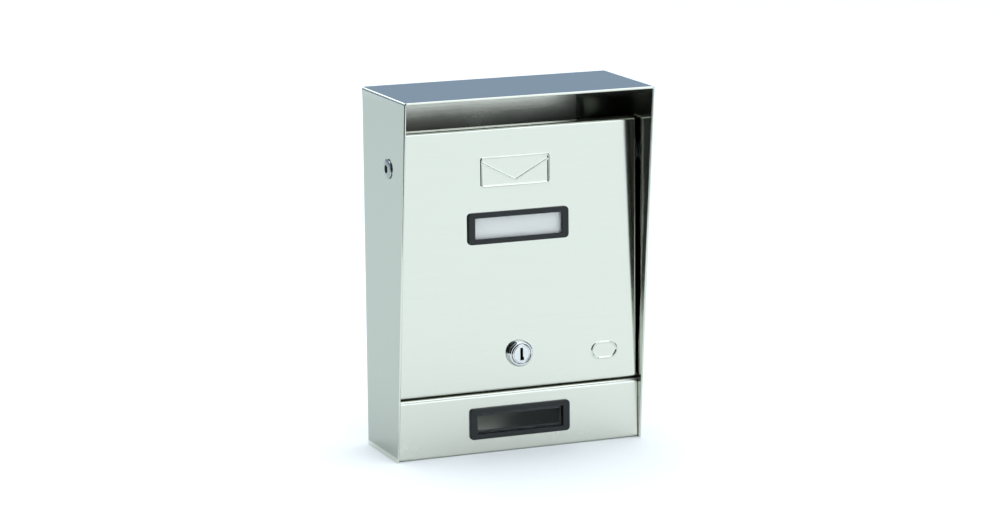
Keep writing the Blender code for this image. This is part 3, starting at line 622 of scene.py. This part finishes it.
class LETTERBOX_OT_body(bpy.types.Operator):
    """Fold the body: back, bottom, lower front, return and lip in one sheet"""

    bl_idname = "letterbox.body"
    bl_label = "Body"

    def execute(self, context):
        s = sheets()
        t = s.body_sheet / 2
        top = DOOR_LOW.z - DOOR_GAP
        front = WALL_Y - FRONT_Y - t
        inner = front - s.return_depth + s.body_sheet
        corners = [
            (t, BODY_HIGH.z),
            (t, t),
            (front, t),
            (front, top - t),
            (inner, top - t),
            (inner, top + s.lip),
        ]
        bends = [s.foot_bend, s.foot_bend, s.front_bend, s.foot_bend]
        outline = folded_outline(corners, bends, s.body_sheet)
        place = lambda across, up, along: np.stack((along, WALL_Y - across, up), axis=-1)
        body = prism("body_shell", outline, place, BODY_LOW.x, BODY_HIGH.x)
        cut(body, self.holes(s, top))
        finish = bright_stainless("bright_stainless_body", "YZ", gloss=(0.22, 0.3))
        dress(body, "box", finish, ["body"])
        return {"FINISHED"}

    def holes(self, s, top):
        """Notches at the ends of the return, then window, wall, drain and rivet holes."""
        notch_y = FRONT_Y + (s.return_depth + s.front_bend) / 2
        made = []
        for side, name in SIDES:
            inner, outer = sorted((side * RETURN_END, side * 2 * BODY_HIGH.x))
            low = (inner, notch_y, top / 2)
            made.append(block("cutter", low, (outer, DRAIN_Y, top + s.lip + OVERRUN)))
        made.append(frame_hole("window_frame"))
        for x in (-WALL_HOLE_X, WALL_HOLE_X):
            for z in (WALL_HOLE_MARGIN, HOOD_HIGH.z - WALL_HOLE_MARGIN):
                made.append(drill(WALL_HOLE, -OVERRUN, 4 * OVERRUN, facing_front(x, z), 48))
        for x in (-DRAIN_X, 0, DRAIN_X):
            place = lambda across, up, along, x=x: np.stack((x + across, DRAIN_Y + up, along), axis=-1)
            made.append(drill(DRAIN_HOLE, -OVERRUN, OVERRUN, place))
        for rivet in RIVETS:
            centre = extent(rivet)[2]
            sink = [(RIVET_SINK, -s.body_sheet), (RIVET_HOLE, s.body_sheet), (RIVET_HOLE, 3 * MM)]
            made.append(lathe("cutter", sink, facing_front(centre.x, centre.z), 32))
        return made


DOOR_GAP = 1.2 * MM  # between the door's foot and the lower front
RETURN_END = 91.7 * MM  # half the length of the return and its lip
WALL_HOLE = 3.3 * MM
WALL_HOLE_X = 60 * MM
WALL_HOLE_MARGIN = 46 * MM
DRAIN_HOLE = 2.2 * MM
DRAIN_X = 55 * MM
DRAIN_Y = WALL_Y - 33 * MM
RIVET_SINK = 3.5 * MM


class LETTERBOX_OT_door(bpy.types.Operator):
    """Press the door: a shallow pan with an envelope and an oval pressed out of its face"""

    bl_idname = "letterbox.door"
    bl_label = "Door"

    def execute(self, context):
        s = sheets()
        pan = make_piece("door_skin", *self.pan(s), merge=2e-6)
        cut(pan, self.cutters(s))
        dress(pan, "door", bright_stainless("bright_stainless_door", "YZ"), ["door_panel"])
        return {"FINISHED"}

    def pan(self, s):
        """Front and back skins on one grid of X and Z, and a rim carried round their edge.

        A skin's point stands proud of the face by relief(x, z). The rim's section is the outer bend,
        the flange, and back by the inner bend, with offset R sin f outwards and R (1 - cos f)
        backwards through each bend. It follows the edge of the skins, and turns through a quarter
        circle at each corner.
        """
        radius, sheet, depth = s.door_bend, s.body_sheet, s.door_flange
        p = bpy.context.scene.letterbox_pressed
        half = DOOR_HIGH.x
        reach = p.envelope_length / 2 + p.bead
        rise = p.envelope_height / 2 + p.bead
        wide, tall = p.oval_length / 2 + OVAL_MARGIN, p.oval_height / 2 + OVAL_MARGIN
        fine_x = [
            (p.envelope_right - reach, p.envelope_right + reach),
            (p.oval_right - wide, p.oval_right + wide),
        ]
        fine_z = [
            (p.oval_up - tall, p.oval_up + tall),
            (p.envelope_up - rise, p.envelope_up + rise),
        ]
        xs = spaced(radius - half, half - radius, fine_x)
        zs = spaced(DOOR_LOW.z + radius, DOOR_HIGH.z - radius, fine_z)
        x, z = np.meshgrid(xs, zs, indexing="ij")
        proud = relief(x, z)
        front = np.stack((x, FRONT_Y - proud, z), axis=-1)
        back = np.stack((x, FRONT_Y + sheet - proud, z), axis=-1)
        edge, out = rim_path(xs, zs)
        f = np.radians(np.linspace(0, 90, 9))
        g = f[::-1]
        small = radius - sheet
        offset = np.concatenate((radius * np.sin(f), [radius, small], small * np.sin(g)))
        behind = np.concatenate((radius * (1 - np.cos(f)), [depth, depth], sheet + small * (1 - np.cos(g))))
        flat = edge[:, None, :] + out[:, None, :] * offset[None, :, None]
        behind = np.broadcast_to(FRONT_Y + behind, flat.shape[:2])
        rim = np.stack((flat[..., 0], behind, flat[..., 1]), axis=-1)
        rows, columns = x.shape
        count = rows * columns
        faces = np.vstack(
            (
                grid_faces(rows, columns),
                grid_faces(rows, columns, offset=count),
                grid_faces(*rim.shape[:2], wrap_rows=True, offset=2 * count),
            )
        )
        return np.vstack((front.reshape(-1, 3), back.reshape(-1, 3), rim.reshape(-1, 3))), faces

    def cutters(self, s):
        """What shortens the head and foot flanges, and the pivot, frame and lock holes."""
        made = []
        side = DOOR_HIGH.x - 2 * s.body_sheet
        centre = (DOOR_LOW + DOOR_HIGH) / 2
        for flange, low, high in (
            (s.door_head, centre.z, DOOR_HIGH.z + FAR),
            (s.door_foot, DOOR_LOW.z - FAR, centre.z),
        ):
            made.append(block("cutter", (-side, FRONT_Y + flange, low), (side, FRONT_Y + FAR, high)))
        pivot = extent("pivot_screw_left")[2]
        reach = DOOR_HIGH.x + 4 * OVERRUN
        made.append(drill(PIVOT_HOLE, -reach, reach, facing_side(1, pivot.y, pivot.z), 48))
        made.append(frame_hole("name_frame"))
        lock = extent("lock_housing")[2]
        face = WALL_Y - FRONT_Y
        place = facing_front(lock.x, lock.z)
        made.append(drill(LOCK_HOLE, face - 2 * OVERRUN, face + 2 * OVERRUN, place, 64, flat=LOCK_HOLE_FLAT))
        return made


OVAL_MARGIN = 2 * MM
FAR = 60 * MM
LOCK_HOLE = 9.5 * MM
LOCK_HOLE_FLAT = 8.6 * MM
ENVELOPE_CORNER = 1.6 * MM
BEAD_SPREAD = 0.62  # a pressed line's foot reaches this share of its width from its middle


def spaced(low, high, fine, fine_step=0.36 * MM, coarse_step=9 * MM):
    """Grid lines from low to high, close together within the fine spans and far apart between."""
    stops = [low]
    parts = []
    for start, end in fine:
        parts.append((stops[-1], start, coarse_step))
        parts.append((start, end, fine_step))
        stops.append(end)
    parts.append((stops[-1], high, coarse_step))
    lines = [np.linspace(a, b, max(2, math.ceil((b - a) / step) + 1)) for a, b, step in parts if b - a > 1e-5]
    return np.unique(np.round(np.concatenate(lines), 7))


def rim_path(xs, zs, turn_steps=8):
    """The edge of a grid, once round, with the outward direction at each point.

    The direction turns through a quarter circle at each corner, as (cos a, sin a).
    """
    low_x, high_x, low_z, high_z = xs[0], xs[-1], zs[0], zs[-1]
    sides = [
        (np.column_stack((xs, np.full_like(xs, low_z))), -90),
        (np.column_stack((np.full_like(zs, high_x), zs)), 0),
        (np.column_stack((xs[::-1], np.full_like(xs, high_z))), 90),
        (np.column_stack((np.full_like(zs, low_x), zs[::-1])), 180),
    ]
    edge, out = [], []
    for line, angle in sides:
        turn = np.radians([angle, *np.linspace(angle, angle + 90, turn_steps + 1)])
        repeats = [len(line) - 2] + [1] * (turn_steps + 1)
        edge += [line[1:-1], np.tile(line[-1], (turn_steps + 1, 1))]
        out.append(np.repeat(np.column_stack((np.cos(turn), np.sin(turn))), repeats, axis=0))
    return np.vstack(edge), np.vstack(out)


def bead(distance, width, rise):
    """A pressed line's height: a raised cosine of the distance from its middle."""
    near = np.clip(distance / (width * BEAD_SPREAD), 0, 1)
    return rise * 0.5 * (1 + np.cos(np.pi * near))


def to_segment(x, z, start, end):
    """Distance from each point to a straight line between two points."""
    along = np.array(end) - np.array(start)
    share = np.clip(((x - start[0]) * along[0] + (z - start[1]) * along[1]) / (along @ along), 0, 1)
    return np.hypot(x - start[0] - share * along[0], z - start[1] - share * along[1])


def to_rounded_box(x, z, centre, half, radius):
    """Distance from each point to the outline of a rounded box."""
    across = np.abs(x - centre[0]) - half[0] + radius
    up = np.abs(z - centre[1]) - half[1] + radius
    outside = np.hypot(np.maximum(across, 0), np.maximum(up, 0))
    inside = np.minimum(np.maximum(across, up), 0)
    return np.abs(outside + inside - radius)


def relief(x, z):
    """Height of the pressed lines at each point: the highest of the envelope, its flap and the oval."""
    p = bpy.context.scene.letterbox_pressed
    centre = (p.envelope_right, p.envelope_up)
    half = (p.envelope_length / 2, p.envelope_height / 2)
    top = p.envelope_up + half[1]
    inset = p.bead / 2
    lines = [to_rounded_box(x, z, centre, half, ENVELOPE_CORNER)]
    for side in (-1, 1):
        start = (centre[0] + side * (half[0] - inset), top - p.flap_start)
        lines.append(to_segment(x, z, start, (centre[0], top - p.flap)))
    oval, end = (p.oval_right, p.oval_up), p.oval_height / 2
    lines.append(to_rounded_box(x, z, oval, (p.oval_length / 2, end), end))
    return bead(np.minimum.reduce(lines), p.bead, p.rise)


class LETTERBOX_OT_frames(bpy.types.Operator):
    """Mould the name holder's and the lower window's frames, panes and card"""

    bl_idname = "letterbox.frames"
    bl_label = "Frames and panes"

    def execute(self, context):
        black = moulded("black_abs_moulding", tuple(colours().abs_black), 0.42, 1.42, 0.45)
        pane = clear_pane("clear_cast_acrylic")
        self.frame("name_frame", "door", black)
        self.frame("window_frame", "box", black)
        self.pane("name_lens", "door", pane)
        self.pane("window_lens", "box", pane)
        self.card()
        for name in ("name_backplate", "window_retainer"):
            repaint(name, black)
        return {"FINISHED"}

    def frame(self, name, body, finish):
        """One closed section of rounded rectangles: bezel, opening and collar.

        The bezel's outer edge and its lip round the opening are quarter circles of the section.
        """
        half_x, half_z, back, front, centre = half_sizes(name)
        seat = WALL_Y - FRONT_Y + CLEARANCE
        pane_x, pane_z = PANE_OPENING
        f = np.radians(np.linspace(0, 90, 7))
        rows = [(half_x, half_z, FRAME_CORNER, seat)]
        for c, s in zip(np.cos(f), np.sin(f)):
            less = BEZEL_EDGE * (1 - c)
            rows.append((half_x - less, half_z - less, FRAME_CORNER - less, front - BEZEL_EDGE * (1 - s)))
        for c, s in zip(np.cos(f), np.sin(f)):
            more = BEZEL_LIP * (1 - s)
            ahead = front - LIP_DROP - BEZEL_LIP * (1 - c)
            rows.append((pane_x + more, pane_z + more, OPENING_CORNER + more, ahead))
        rows += [
            (pane_x, pane_z, OPENING_CORNER, seat),
            (*COLLAR_INSIDE, OPENING_CORNER, seat),
            (*COLLAR_INSIDE, OPENING_CORNER, back),
            (*COLLAR_OUTSIDE, COLLAR_CORNER, back),
            (*COLLAR_OUTSIDE, COLLAR_CORNER, seat),
        ]
        made = rounded_loops(f"{name}_moulding", rows, centre)
        dress(made, body, finish, [name])

    def pane(self, name, body, finish):
        """A rounded sheet with a small chamfer on both faces."""
        half_x, half_z, back, front, centre = half_sizes(name)
        edge, corner = PANE_CHAMFER, PANE_CORNER
        rows = [
            (half_x - edge, half_z - edge, corner - edge, back),
            (half_x, half_z, corner, back + edge),
            (half_x, half_z, corner, front - edge),
            (half_x - edge, half_z - edge, corner - edge, front),
        ]
        made = rounded_loops(f"{name}_pane", rows, centre, closed=False, smooth_angle=20)
        dress(made, body, finish, [name])

    def card(self):
        """A blank card, with its front edge eased."""
        half_x, half_z, back, front, centre = half_sizes("name_card")
        edge, corner = CARD_EDGE, CARD_CORNER
        rows = [
            (half_x, half_z, corner, back),
            (half_x, half_z, corner, front - edge),
            (half_x - edge, half_z - edge, corner - edge, front),
        ]
        made = rounded_loops("blank_name_card", rows, centre, closed=False)
        dress(made, "door", smooth_card("uncoated_card"), ["name_card"])


# The frame moulding, with half its lengths and heights
PANE_OPENING = (35.0 * MM, 8.0 * MM)
COLLAR_INSIDE = (37.0 * MM, 9.0 * MM)
COLLAR_OUTSIDE = (38.0 * MM, 10.0 * MM)
FRAME_CORNER = 3.0 * MM
OPENING_CORNER = 0.6 * MM
COLLAR_CORNER = 0.8 * MM
BEZEL_EDGE = 0.9 * MM
BEZEL_LIP = 0.5 * MM
LIP_DROP = 0.1 * MM
PANE_CHAMFER = 0.15 * MM
PANE_CORNER = 0.4 * MM
CARD_EDGE = 0.05 * MM
CARD_CORNER = 0.5 * MM


def repaint(name, finish):
    """Gives a carried-over solid a better finish."""
    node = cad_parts[name]
    node.data.materials.clear()
    node.data.materials.append(finish)


class LETTERBOX_OT_lock(bpy.types.Operator):
    """Turn the cam lock's housing and plug, and finish its nut, cam and screw"""

    bl_idname = "letterbox.lock"
    bl_label = "Cam lock"

    def execute(self, context):
        chrome = plated("chrome_plate", tuple(colours().chrome), 0.09)
        zinc = plated("bright_zinc_plate", tuple(colours().zinc), 0.3)
        screw = plated("turned_screw_steel", tuple(colours().screw), 0.24)
        centre = extent("lock_housing")[2]
        place = facing_front(centre.x, centre.z)
        self.housing(place, chrome)
        self.plug(centre, place, chrome)
        repaint("lock_nut", zinc)
        repaint("lock_cam", zinc)
        repaint("lock_cam_screw", screw)
        return {"FINISHED"}

    def housing(self, place, finish):
        """Bezel with a rounded rim and a shallow dish towards the plug, and a flatted barrel.

        The rim is a quarter of an ellipse: in by T (1 - cos f) and back by D (1 - sin f).
        """
        radius, _, end, front, _ = half_sizes("lock_housing")
        seat = WALL_Y - FRONT_Y + CLEARANCE
        f = np.radians(np.linspace(0, 90, 13))
        rim = np.column_stack((radius - RIM_TAPER * (1 - np.cos(f)), front - RIM_DOME * (1 - np.sin(f))))
        bore = [(HOUSING_BORE + inset, front - back) for inset, back in DISH] + [(HOUSING_BORE, end)]
        barrel = [(HOUSING_BORE, end), (BARREL, end), (BARREL, seat), (radius, seat)]
        profile = np.vstack((barrel, rim, bore))
        name = "lock_bezel_and_barrel"
        made = lathe(name, profile, place, 96, flat=BARREL_FLAT, flat_rows=slice(1, 3))
        dress(made, "door", finish, ["lock_housing"])

    def plug(self, centre, place, finish):
        """Plug with a chamfer, a fine turned ring and a keyway with a side ward, and a square tail."""
        _, _, end, front, _ = half_sizes("lock_plug")
        shoulder = WALL_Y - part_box("lock_cam")[0].y + CLEARANCE
        profile = [
            (0, shoulder),
            (PLUG, shoulder),
            (PLUG, front - PLUG_CHAMFER),
            (PLUG - PLUG_CHAMFER, front),
            (PLUG_RING + GROOVE_HALF, front),
            (PLUG_RING, front - GROOVE_DEPTH),
            (PLUG_RING - GROOVE_HALF, front),
            (0, front),
        ]
        plug = lathe("lock_plug_and_tail", profile, place, 96)
        tail = block(
            "tail",
            (centre.x - TAIL_HALF, WALL_Y - shoulder - TAIL_ROOT, centre.z - TAIL_HALF),
            (centre.x + TAIL_HALF, WALL_Y - end, centre.z + TAIL_HALF),
        )
        cut(plug, [tail], operation="UNION")
        screw = drill(SCREW_BORE, end - OVERRUN, end + SCREW_BORE_DEPTH, place)
        cut(plug, [screw, *self.keyway(centre, front)])
        dress(plug, "lock", finish, ["lock_plug"])
        # The second finish is painted shade: a dark zinc that darkens the keyway's walls and floor because
        # they lie in a recess.
        plug.data.materials.append(plated("keyway_painted_shade_zinc", linear("3b3c3a"), 0.5))
        self.paint_keyway_shade(plug.data, centre, WALL_Y - front)

    def keyway(self, centre, front):
        """The key slot, and the ward that widens its foot to the right."""
        return [
            block(
                "cutter",
                (centre.x + left * MM, WALL_Y - front - OVERRUN, centre.z + foot * MM),
                (centre.x + right * MM, WALL_Y - front + KEYWAY_DEPTH, centre.z + head * MM),
            )
            for left, foot, right, head in KEY_SLOTS
        ]

    def paint_keyway_shade(self, mesh, centre, front_y):
        """Gives the keyway's walls and floor the second finish, a dark zinc that is painted shade: they lie
        inside, behind the front face.
        """
        middles = np.empty(len(mesh.polygons) * 3)
        mesh.polygons.foreach_get("center", middles)
        middles = middles.reshape(-1, 3)
        depth = middles[:, 1] - front_y
        near = np.hypot(middles[:, 0] - centre.x, middles[:, 2] - centre.z) < KEYWAY_REACH
        inside = near & (depth > KEYWAY_START) & (depth < KEYWAY_DEPTH + KEYWAY_START)
        mesh.polygons.foreach_set("material_index", inside.astype(int))


# The cam lock, as radii unless they say otherwise
HOUSING_BORE = 7.7 * MM
BARREL = 9.2 * MM
BARREL_FLAT = 8.3 * MM
RIM_TAPER = 2.2 * MM
RIM_DOME = 4.0 * MM
DISH = [(0.25 * MM, 0.1 * MM), (0.05 * MM, 0.35 * MM), (0, 0.6 * MM)]  # out from the bore, back from the rim
PLUG = 7.4 * MM
PLUG_CHAMFER = 0.35 * MM
PLUG_RING = 6.3 * MM
GROOVE_HALF = 0.22 * MM
GROOVE_DEPTH = 0.25 * MM
TAIL_HALF = 3.2 * MM
TAIL_ROOT = 0.5 * MM
SCREW_BORE = 2.0 * MM
SCREW_BORE_DEPTH = 5.3 * MM
KEY_SLOTS = [(-1.15, -4.8, 1.15, 4.8), (0.0, -4.8, 1.9, -2.4)]  # left, foot, right and head, in mm
KEYWAY_START = 0.3 * MM
KEYWAY_DEPTH = 7.0 * MM
KEYWAY_REACH = 5.3 * MM


class LETTERBOX_OT_pivots(bpy.types.Operator):
    """Turn the pivot screws and spacers, and finish the nuts, washers and rivets"""

    bl_idname = "letterbox.pivots"
    bl_label = "Pivots and rivets"

    def execute(self, context):
        screw = plated("turned_pivot_steel", tuple(colours().screw), 0.2)
        nylon = moulded("black_nylon_moulding", tuple(colours().nylon), 0.45, 1.53, 0.3)
        for side, name in SIDES:
            self.screw(side, name, screw)
            self.spacer(side, name, nylon)
            repaint(f"pivot_washer_{name}", screw)
            repaint(f"pivot_nut_{name}", screw)
        for rivet in RIVETS:
            repaint(rivet, screw)
        return {"FINISHED"}

    def screw(self, side, name, finish):
        """Low domed head with a hexagon socket, a plain shoulder and a thread-sized end."""
        node = f"pivot_screw_{name}"
        low, high, centre = extent(node)
        place = facing_side(side, centre.y, centre.z)
        head = (high.z - low.z) / 2
        inner, outer = sorted((abs(low.x), abs(high.x)))
        seat = outer - HEAD_HEIGHT
        shoulder_from = min(abs(corner.x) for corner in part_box(f"pivot_washer_{name}")) + SHOULDER_START
        f = np.radians(np.linspace(0, 75, 9))
        crown = seat + HEAD_EDGE + (HEAD_HEIGHT - HEAD_EDGE) * np.sin(f) / math.sin(f[-1])
        thread = [
            (THREAD - THREAD_CHAMFER, inner),
            (THREAD, inner + THREAD_CHAMFER),
            (THREAD, shoulder_from),
            (SHOULDER, shoulder_from),
            (SHOULDER, seat),
            (head, seat),
        ]
        profile = np.vstack((thread, np.column_stack((head * np.cos(f), crown))))
        made = lathe(f"{node}_turned", profile, place)
        hexagon = arc((0, 0), SOCKET_HALF / math.cos(math.radians(30)), 30, 330, 5)
        cut(made, [prism("cutter", hexagon, place, outer - SOCKET_DEPTH, outer + OVERRUN)])
        dress(made, "box", finish, [node])

    def spacer(self, side, name, finish):
        """A plain ring with its outer edges eased."""
        node = f"pivot_spacer_{name}"
        low, high, centre = extent(node)
        place = facing_side(side, centre.y, centre.z)
        radius, bore = (high.z - low.z) / 2, PIVOT_HOLE
        inner, outer = sorted((abs(low.x), abs(high.x)))
        profile = [
            (bore, inner),
            (radius - SPACER_EDGE, inner),
            (radius, inner + SPACER_EDGE),
            (radius, outer - SPACER_EDGE),
            (radius - SPACER_EDGE, outer),
            (bore, outer),
            (bore, inner),
        ]
        made = lathe(f"{node}_moulded", profile, place)
        dress(made, "box", finish, [node])


# The pivot screws and spacers, as radii and lengths along the axis
HEAD_HEIGHT = 1.6 * MM
HEAD_EDGE = 0.35 * MM
THREAD = 2.5 * MM
THREAD_CHAMFER = 0.4 * MM
SHOULDER = 3.8 * MM
SHOULDER_START = 1.3 * MM  # from the washer's inner face
SOCKET_HALF = 3.0 * MM
SOCKET_DEPTH = 4.2 * MM
SPACER_EDGE = 0.3 * MM


class LETTERBOX_OT_stage(bpy.types.Operator):
    """Lay the floor, hang the soft light and place the camera"""

    bl_idname = "letterbox.stage"
    bl_label = "Stage"

    def execute(self, context):
        self.floor()
        self.lights()
        self.world(context.scene)
        self.camera(context.scene)
        return {"FINISHED"}

    def floor(self):
        """A level square of board, just under the base."""
        line = np.linspace(-FLOOR_REACH, FLOOR_REACH, 15)
        x, y = np.meshgrid(line, line, indexing="ij")
        points = np.stack((x, y, np.full_like(x, -FLOOR_DROP)), axis=-1).reshape(-1, 3)
        mesh = bpy.data.meshes.new("floor")
        mesh.from_pydata(points, [], grid_faces(15, 15)[:, ::-1].tolist())
        mesh.materials.append(pale_floor("pale_floor"))
        new_object("floor", mesh)

    def lights(self):
        """Soft boxes, and flags: plain cards that only reflections see."""
        for name, place, aim, size, power in LAMPS:
            lamp = bpy.data.lights.new(name, "AREA")
            lamp.shape = "RECTANGLE"
            lamp.size, lamp.size_y = size
            lamp.energy = power
            aim_at(new_object(name, lamp), Vector(place), Vector(aim))
        for name, hex_value, corner, along, up in FLAGS:
            corner, along, up = np.array(corner), np.array(along), np.array(up)
            mesh = bpy.data.meshes.new(name)
            mesh.from_pydata([corner, corner + along, corner + along + up, corner + up], [], [(0, 1, 2, 3)])
            mesh.materials.append(new_finish(name, linear(hex_value), 0.0, 1.0)[0])
            flag = new_object(name, mesh)
            flag.visible_camera = flag.visible_diffuse = flag.visible_shadow = False

    def world(self, scene):
        """A blue-grey room beyond the lamps and cards, shown by the plain Standard view."""
        world = bpy.data.worlds.new("studio")
        world.use_nodes = True
        scene.world = world
        background = world.node_tree.nodes["Background"]
        background.inputs["Color"].default_value = (*linear("92a7be"), 1.0)
        background.inputs["Strength"].default_value = 1.0
        scene.view_settings.view_transform = "Standard"

    def camera(self, scene):
        """Stands at its place, tilted down and rolled slightly. Back points from the target to it."""
        stage = scene.letterbox_stage
        az, el, roll = stage.azimuth, stage.elevation, stage.roll
        back = Vector((math.sin(az) * math.cos(el), -math.cos(az) * math.cos(el), math.sin(el)))
        right = Vector((math.cos(az), math.sin(az), 0.0))
        up = back.cross(right)
        right, up = (
            math.cos(roll) * right + math.sin(roll) * up,
            math.cos(roll) * up - math.sin(roll) * right,
        )
        data = bpy.data.cameras.new("camera")
        data.lens = stage.focal
        data.sensor_width = 36.0
        data.clip_end = 60.0
        scene.camera = new_object("camera", data)
        turn = Matrix((right, up, back)).transposed().to_4x4()
        scene.camera.matrix_world = Matrix.Translation(CAMERA_PLACE) @ turn


CAMERA_PLACE = Vector((-0.97086, -2.40658, 0.65983))
FLOOR_REACH = 14.0
FLOOR_DROP = 0.2 * MM

# Each lamp's name, place, aim, size and power in watts
LAMPS = [
    ("overhead_softbox", (0.2, 0.2, 4.0), (0.0, 0.0, 0.0), (8.0, 8.0), 345.0),
    ("front_softbox", (2.3, -4.2, 1.3), (0.0, 0.0, 0.2), (4.2, 2.6), 52.0),
    ("rear_strip_softbox", (-0.9, 3.9, 1.85), (0.0, 0.0, 0.25), (2.0, 0.7), 8.0),
]

# Each flag's name and colour, one corner, and the two edges that leave it
BLACK_CARD = "0a0c0c"
FLAGS = [
    ("dark_floor_flag", BLACK_CARD, (-2.6, -3.2, 0.002), (2.58, 0, 0), (0, 2.78, 0)),
    ("dark_standing_flag", BLACK_CARD, (-3.6, -3.2, 0.0), (3.4, -0.7, 0), (0, 0, 2.2)),
    ("dark_high_flag", BLACK_CARD, (-3.4, -3.4, 2.6), (3.25, 0, 0), (0, 2.9, 0)),
    ("grey_floor_flag", "c9cfcb", (-4.5, -0.06, 0.002), (4.398, 0, 0), (0, 5.06, 0)),
    ("grey_ceiling_flag", "8f9aa3", (-4.5, 1.3, 3.7), (9.0, 0, 0), (0, 5.7, 0)),
    ("dark_side_flag", BLACK_CARD, (-0.9, -2.2, 0.0), (0, 2.3, 0), (0, 0, 1.6)),
]


def aim_at(holder, place, target):
    """Puts a lamp at a place with its face towards a point."""
    turn = (place - target).to_track_quat("Z", "Y").to_matrix().to_4x4()
    holder.matrix_world = Matrix.Translation(place) @ turn


class LETTERBOX_PT_panel(bpy.types.Panel):
    """Lists the steps and their sizes"""

    bl_idname = "LETTERBOX_PT_panel"
    bl_label = "Letterbox"
    bl_space_type = "VIEW_3D"
    bl_region_type = "UI"
    bl_category = "Letterbox"

    def draw(self, context):
        for operator in OPERATORS:
            self.layout.operator(operator.bl_idname)
        for name in GROUPS:
            group = getattr(context.scene, name)
            box = self.layout.box()
            for size in group.bl_rna.properties.keys():
                if size not in ("rna_type", "name"):
                    box.prop(group, size)


GROUPS = {
    "letterbox_sheets": SheetSizes,
    "letterbox_pressed": PressedSizes,
    "letterbox_colours": FinishColours,
    "letterbox_stage": StageSettings,
}
OPERATORS = (
    LETTERBOX_OT_hood,
    LETTERBOX_OT_body,
    LETTERBOX_OT_door,
    LETTERBOX_OT_frames,
    LETTERBOX_OT_lock,
    LETTERBOX_OT_pivots,
    LETTERBOX_OT_stage,
)
CLASSES = (*GROUPS.values(), *OPERATORS, LETTERBOX_PT_panel)


def register():
    for made in CLASSES:
        bpy.utils.register_class(made)
    for name, group in GROUPS.items():
        setattr(bpy.types.Scene, name, PointerProperty(type=group))


def unregister():
    for name in GROUPS:
        delattr(bpy.types.Scene, name)
    for made in reversed(CLASSES):
        bpy.utils.unregister_class(made)


def main():
    register()
    for operator in OPERATORS:
        getattr(bpy.ops.letterbox, operator.bl_idname.split(".")[1])()


if __name__ == "__main__":
    main()
